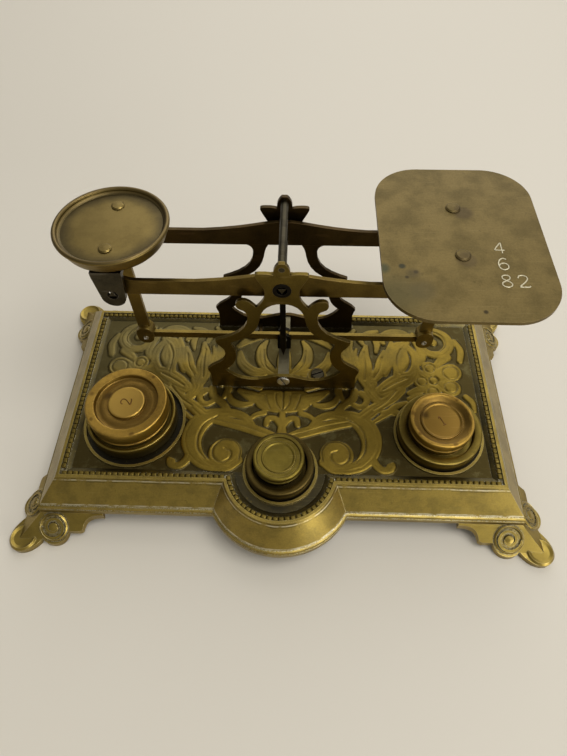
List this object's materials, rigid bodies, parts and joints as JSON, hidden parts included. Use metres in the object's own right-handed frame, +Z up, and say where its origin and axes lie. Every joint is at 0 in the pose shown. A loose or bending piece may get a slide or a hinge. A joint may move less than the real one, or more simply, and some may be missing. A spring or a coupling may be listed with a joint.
{
  "type": "postal scale",
  "caption": "Parallel-motion letter balance: twin-arm beam with round pan and letter plate on a cast tray with scroll feet and nested weights.",
  "frame": {"origin": "on the table, under the middle of the whole outline", "axes": "+X to the letter plate on the right, +Y to the back, +Z up; front with the bulge towards -Y"},
  "size_m": [0.2272, 0.1376, 0.101],
  "materials": {
    "cast_brass": "aged cast brass, worn bright on the edges",
    "dark_brass": "dark brown patina",
    "worn_brass": "olive-brown satin",
    "polished_brass": "handled, bright with stains",
    "dark_steel": "dark, oiled",
    "bright_steel": "bright, slightly tarnished"
  },
  "bodies": {
    "base": {"tray": "cast_brass", "bead_border": "worn_brass", "foot_front_left": "cast_brass", "foot_front_right": "cast_brass", "foot_back_left": "cast_brass", "foot_back_right": "cast_brass", "front_frame": "worn_brass", "back_frame": "dark_brass", "pivot_bushes": "dark_steel", "top_stay_rod": "dark_steel", "lower_stay_bar": "bright_steel", "stay_screws": "bright_steel", "floor_screws": "bright_steel", "link_fork": "dark_steel", "fork_pin": "bright_steel"},
    "beam": {"front_beam_arm": "worn_brass", "back_beam_arm": "dark_brass", "centre_knife_edge": "dark_steel", "left_knife_edges": "dark_steel", "right_knife_edges": "dark_steel", "pointer": "dark_steel"},
    "weight_pan_side": {"weight_pan": "worn_brass", "weight_pan_rivets": "worn_brass", "left_yoke": "dark_steel", "left_stem": "dark_brass", "left_stem_pin": "bright_steel"},
    "letter_plate_side": {"letter_plate": "worn_brass", "letter_plate_rivets": "worn_brass", "right_yoke": "dark_steel", "right_stem": "dark_brass", "right_stem_pin": "bright_steel"},
    "link": {"parallel_link": "worn_brass"},
    "left_lower": {"left_lower_weight": "dark_brass"},
    "left_upper": {"left_upper_weight": "polished_brass"},
    "right_lower": {"right_lower_weight": "dark_brass"},
    "right_upper": {"right_upper_weight": "polished_brass"},
    "centre_lower": {"centre_lower_weight": "dark_brass"},
    "centre_upper": {"centre_upper_weight": "polished_brass"}
  },
  "joints": [
    {"name": "beam_hinge", "type": "hinge", "parent": "base", "child": "beam", "pos_m": [0, 0.02184, 0.0849], "axis": [0, 1, 0], "range_deg": [-6, 6]},
    {"name": "weight_pan_hinge", "type": "hinge", "parent": "beam", "child": "weight_pan_side", "pos_m": [-0.062, 0.02184, 0.0849], "axis": [0, 1, 0], "range_deg": [-6, 6]},
    {"name": "letter_plate_hinge", "type": "hinge", "parent": "beam", "child": "letter_plate_side", "pos_m": [0.062, 0.02184, 0.0849], "axis": [0, 1, 0], "range_deg": [-6, 6]},
    {"name": "link_hinge", "type": "hinge", "parent": "base", "child": "link", "pos_m": [0, 0.02184, 0.0384], "axis": [0, 1, 0], "range_deg": [-6, 6]},
    {"name": "left_lower_lift", "type": "slide", "parent": "base", "child": "left_lower", "axis": [0, 0, 1], "range_m": [0, 0.02]},
    {"name": "left_upper_lift", "type": "slide", "parent": "left_lower", "child": "left_upper", "axis": [0, 0, 1], "range_m": [0, 0.025]},
    {"name": "right_lower_lift", "type": "slide", "parent": "base", "child": "right_lower", "axis": [0, 0, 1], "range_m": [0, 0.02]},
    {"name": "right_upper_lift", "type": "slide", "parent": "right_lower", "child": "right_upper", "axis": [0, 0, 1], "range_m": [0, 0.025]},
    {"name": "centre_lower_lift", "type": "slide", "parent": "base", "child": "centre_lower", "axis": [0, 0, 1], "range_m": [0, 0.02]},
    {"name": "centre_upper_lift", "type": "slide", "parent": "centre_lower", "child": "centre_upper", "axis": [0, 0, 1], "range_m": [0, 0.025]}
  ],
  "couplings": [
    {"joint": "weight_pan_hinge", "follows": "beam_hinge", "ratio": -1},
    {"joint": "letter_plate_hinge", "follows": "beam_hinge", "ratio": -1},
    {"joint": "link_hinge", "follows": "beam_hinge", "ratio": 1}
  ]
}
